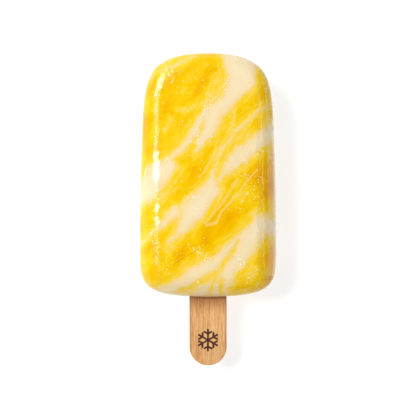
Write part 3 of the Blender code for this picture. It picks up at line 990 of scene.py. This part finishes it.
class LollyStageSettings(bpy.types.PropertyGroup):
    floor_colour: FloatVectorProperty(
        name="Floor Colour", description="Colour of the plain floor", default=(0.45, 0.45, 0.45), **COLOUR,
    )
    camera_distance: FloatProperty(
        name="Camera Distance", description="Height of the camera above the bar's widest level",
        default=0.499, min=0.2, max=2.0, **LENGTH,
    )


class LOLLY_OT_make_bar(bpy.types.Operator):
    """Make the frozen bar, with its marbling and relief"""

    bl_idname = "lolly.make_bar"
    bl_label = "Make Frozen Bar"

    def execute(self, context):
        settings = context.scene.lolly_bar
        mesh = bar_mesh(settings)
        bar = add_piece("frozen_bar", mesh, frozen_mango_and_cream(), "ice_bar")
        relief = bar.modifiers.new("relief", "NODES")
        relief.node_group = relief_tree(settings.relief)
        apply_modifiers(bar)
        return {"FINISHED"}


class LOLLY_OT_make_crystals(bpy.types.Operator):
    """Make the frost crystals that stand out of the bar's skin"""

    bl_idname = "lolly.make_crystals"
    bl_label = "Make Frost Crystals"

    def execute(self, context):
        mesh = crystal_mesh(bar_in_scene().data, context.scene.lolly_bar.crystals)
        add_piece("frost_crystals", mesh, frost_crystal())
        return {"FINISHED"}


class LOLLY_OT_make_stick(bpy.types.Operator):
    """Make the wooden stick, with the snow star burned into it"""

    bl_idname = "lolly.make_stick"
    bl_label = "Make Stick"

    def execute(self, context):
        settings = context.scene.lolly_stick
        bar = bar_in_scene()
        size = STICK_HIGH - STICK_LOW
        middle = (STICK_HIGH + STICK_LOW) / 2
        mesh = flat_bar_mesh("wooden_stick", size.y, size.x, size.z, settings.edge_bevel)
        mesh.transform(Matrix.Translation(middle))
        stick = add_piece("wooden_stick", mesh, burned_birch(), "stick")
        centre = Vector((0.0, STICK_LOW.y + settings.star_from_end))
        grooves = star_cutter(centre, settings.star_size, STICK_HIGH.z)
        cut_out(stick, operand_type="COLLECTION", collection=grooves)
        for groove in list(grooves.objects):
            bpy.data.objects.remove(groove)
        bpy.data.collections.remove(grooves)
        stick.data.shade_smooth()
        stick.data.set_sharp_from_angle(angle=math.radians(35))
        cut_slot(bar, size, middle, settings.edge_bevel)
        return {"FINISHED"}


class LOLLY_OT_make_stage(bpy.types.Operator):
    """Make the floor, the lights and the camera that looks straight down on the lolly"""

    bl_idname = "lolly.make_stage"
    bl_label = "Make Stage"

    def execute(self, context):
        settings = context.scene.lolly_stage
        make_floor(settings.floor_colour)
        make_world()
        for name, place in SOFTBOXES.items():
            add_softbox(name, *place)
        make_camera(settings.camera_distance)
        return {"FINISHED"}


def make_floor(colour):
    """A wide disc of white acrylic, a hair below the lolly, with light of its own."""
    mesh = bpy.data.meshes.new("floor")
    with editing(mesh) as form:
        bmesh.ops.create_circle(form, cap_ends=True, segments=96, radius=3.0)
    floor = add_object("floor", mesh)
    floor.location.z = -0.00002
    material, _ = new_material("backlit_matt_acrylic")
    mesh.materials.append(finished(material, {
        "Base Color": (*colour, 1.0), "Roughness": 0.9, "Specular IOR Level": 0.0,
        "Emission Color": (0.98, 1.0, 1.03, 1.0), "Emission Strength": 0.76,
    }))


def make_world():
    """A dim sky with a warm panel low on the right, from the foot round to the tip, under a lit edge."""
    world = bpy.data.worlds.new("studio")
    bpy.context.scene.world = world
    world.use_nodes = True
    tree = world.node_tree
    tree.nodes.clear()
    node = partial(add_node, tree)
    direction = node("TexCoord").outputs["Generated"]
    x, y, z = node("SeparateXYZ", (direction,)).outputs
    level = node("VectorMath", (direction, (1.0, 1.0, 0.0)), "MULTIPLY")
    level = node("VectorMath", (level,), "NORMALIZE")
    heading = math.radians(PANEL_HEADING)
    facing = node("VectorMath", (level, (math.cos(heading), math.sin(heading), 0.0)), "DOT_PRODUCT")
    spread = node("MapRange", (facing.outputs["Value"], 0.0, 0.45), **SMOOTH)
    panel_top, edge_low, edge_high = (math.cos(math.radians(a)) for a in (PANEL_TOP, EDGE_FROM, EDGE_TO))
    below = node("MapRange", (z, panel_top - 0.01, panel_top + 0.01, 1.0, 0.0))
    edge_middle, edge_half = (edge_low + edge_high) / 2, abs(edge_high - edge_low) / 2
    leaning = node("Math", (y, -EDGE_SLOPE, z), "MULTIPLY_ADD")
    off_edge = node("Math", (leaning, edge_middle), "SUBTRACT")
    off_edge = node("Math", (off_edge,), "ABSOLUTE")
    on_edge = node("MapRange", (off_edge, edge_half, edge_half + 0.01, EDGE_RADIANCE, 0.0))
    panel = node("Math", (below, PANEL_RADIANCE, on_edge), "MULTIPLY_ADD")
    # The sky is brightest on the left and dark overhead, where the camera is
    to_left = node("MapRange", (x, -0.9, 0.9, SKY_LEFT, SKY_RIGHT))
    to_foot = node("MapRange", (y, -0.9, -0.1, SKY_FOOT, 0.0))
    aside = node("Math", (to_left, to_foot), "ADD")
    off_camera = node("MapRange", (z, 0.94, 0.99, 1.0, 0.0))
    off_horizon = node("MapRange", (z, 0.25, 0.55, 0.2, 1.0))
    sky = node("Math", (off_camera, off_horizon), "MULTIPLY")
    sky = node("Math", (sky, aside), "MULTIPLY")
    strength = node("Math", (panel, spread, sky), "MULTIPLY_ADD")
    background = node("Background", {"Color": linear(PANEL_COLOUR), "Strength": strength})
    node("OutputWorld", {"Surface": background})


def add_softbox(name, from_zenith, from_left, distance, height, width, radiance):
    """A flat softbox that faces the lolly's middle from a direction in degrees, with an even radiance."""
    light = bpy.data.lights.new(name, "AREA")
    light.shape = "RECTANGLE"
    light.size = width
    light.size_y = height
    light.energy = radiance * width * height * math.pi
    lamp = add_object(name, light)
    zenith, left = math.radians(from_zenith), math.radians(from_left)
    way = Vector((-math.sin(zenith) * math.cos(left), math.sin(zenith) * math.sin(left), math.cos(zenith)))
    lamp.location = Vector((0.0, 0.0, WIDEST_LEVEL)) + way * distance
    lamp.rotation_euler = way.to_track_quat("Z", "Y").to_euler()


def make_camera(distance):
    """A camera straight above the lolly, which frames it as the photograph does."""
    data = bpy.data.cameras.new("camera")
    camera = add_object("camera", data)
    data.sensor_width = 36.0
    data.lens = data.sensor_width * distance / FRAME_WIDTH
    data.clip_start = 0.01
    data.clip_end = 20.0
    camera.location = (0.0, FRAME_MIDDLE_Y, WIDEST_LEVEL + distance)
    bpy.context.scene.camera = camera
    bpy.context.scene.view_settings.view_transform = "Standard"


class LOLLY_PT_panel(bpy.types.Panel):
    """The lolly's settings and the buttons that make each piece"""

    bl_idname = "LOLLY_PT_panel"
    bl_label = "Ice Lolly"
    bl_space_type = "VIEW_3D"
    bl_region_type = "UI"
    bl_category = "Lolly"

    def draw(self, context):
        for settings, operators in (
            (context.scene.lolly_bar, ("lolly.make_bar", "lolly.make_crystals")),
            (context.scene.lolly_stick, ("lolly.make_stick",)),
            (context.scene.lolly_stage, ("lolly.make_stage",)),
        ):
            box = self.layout.box()
            for name in settings.__annotations__:
                box.prop(settings, name)
            for operator in operators:
                box.operator(operator)


SETTINGS = {
    "lolly_bar": LollyBarSettings,
    "lolly_stick": LollyStickSettings,
    "lolly_stage": LollyStageSettings,
}
CLASSES = (
    *SETTINGS.values(),
    LOLLY_OT_make_bar,
    LOLLY_OT_make_crystals,
    LOLLY_OT_make_stick,
    LOLLY_OT_make_stage,
    LOLLY_PT_panel,
)


def register():
    for made in CLASSES:
        bpy.utils.register_class(made)
    for name, made in SETTINGS.items():
        setattr(bpy.types.Scene, name, PointerProperty(type=made))


def unregister():
    for name in SETTINGS:
        delattr(bpy.types.Scene, name)
    for made in reversed(CLASSES):
        bpy.utils.unregister_class(made)


def main():
    register()
    bpy.ops.lolly.make_bar()
    bpy.ops.lolly.make_crystals()
    bpy.ops.lolly.make_stick()
    bpy.ops.lolly.make_stage()


if __name__ == "__main__":
    main()
